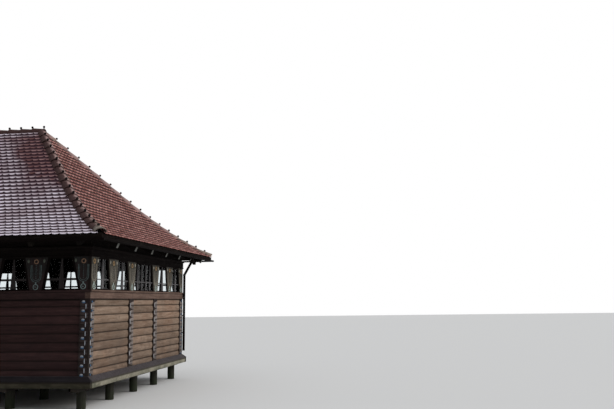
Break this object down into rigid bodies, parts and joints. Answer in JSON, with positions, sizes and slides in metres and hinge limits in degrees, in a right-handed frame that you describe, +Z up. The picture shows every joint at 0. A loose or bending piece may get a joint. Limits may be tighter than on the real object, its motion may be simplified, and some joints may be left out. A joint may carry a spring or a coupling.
{
  "type": "boathouse",
  "caption": "Log-walled boathouse on short piles, with tapered ornament boards between its windows and a flared hip roof of beaver-tail tiles.",
  "frame": {"origin": "middle of the footprint, level with the feet of the piles", "axes": "+Z up, +X along the long front to its right end, -Y out of the long front"},
  "size_m": [11.812, 8.382, 7.141],
  "materials": {
    "pile_wood": "weathered grey round timber",
    "beam_wood": "dark damp sawn timber",
    "floor_wood": "weathered planks",
    "edge_wood": "pale weathered board with a green tinge",
    "skirt_wood": "grey-purple stained board",
    "post_wood": "near-black stain with painted studs",
    "log_long_wood": "dark reddish brown stained logs",
    "log_end_wood": "weathered light brown logs with grain and knots",
    "rail_wood": "reddish brown stained timber",
    "board_paint": "weathered beige boards with painted garlands",
    "glass": "clear pane",
    "header_wood": "olive-brown stained timber",
    "door_wood": "dark reddish brown stained boards",
    "rafter_wood": "dark stained rafters with pale ends",
    "frosted_tiles": "terracotta beaver-tail tiles under hoar frost",
    "tiles": "terracotta beaver-tail tiles",
    "caps": "weathered clay caps with lichen and dark knobs",
    "gutter_metal": "dark brown painted sheet"
  },
  "bodies": {
    "root": {"piles_front": "pile_wood", "piles_inner": "pile_wood", "piles_back": "pile_wood", "floor_beams": "beam_wood", "floor_boards": "floor_wood", "edge_boards": "edge_wood", "skirt_boards": "skirt_wood", "corner_posts": "post_wood", "front_posts": "post_wood", "back_posts": "post_wood", "end_posts": "post_wood", "front_logs": "log_long_wood", "right_logs": "log_end_wood", "back_logs": "log_long_wood", "left_logs": "log_end_wood", "front_rail": "rail_wood", "right_rail": "rail_wood", "back_rail": "rail_wood", "left_rail": "rail_wood", "front_boards": "board_paint", "right_boards": "board_paint", "back_boards": "board_paint", "left_boards": "board_paint", "front_glass": "glass", "back_glass": "glass", "end_glass": "glass", "front_header": "header_wood", "right_header": "header_wood", "back_header": "header_wood", "left_header": "header_wood", "wall_plates": "header_wood", "door_frame": "door_wood", "back_doors": "door_wood", "rafters_front": "rafter_wood", "rafters_back": "rafter_wood", "rafters_end": "rafter_wood", "hip_rafters": "rafter_wood", "ridge_beam": "rafter_wood", "roof_front": "frosted_tiles", "roof_right": "tiles", "roof_back": "tiles", "roof_left": "tiles", "hip_caps": "caps", "ridge_caps": "caps", "gutters": "gutter_metal", "downpipes": "gutter_metal"}
  },
  "joints": []
}
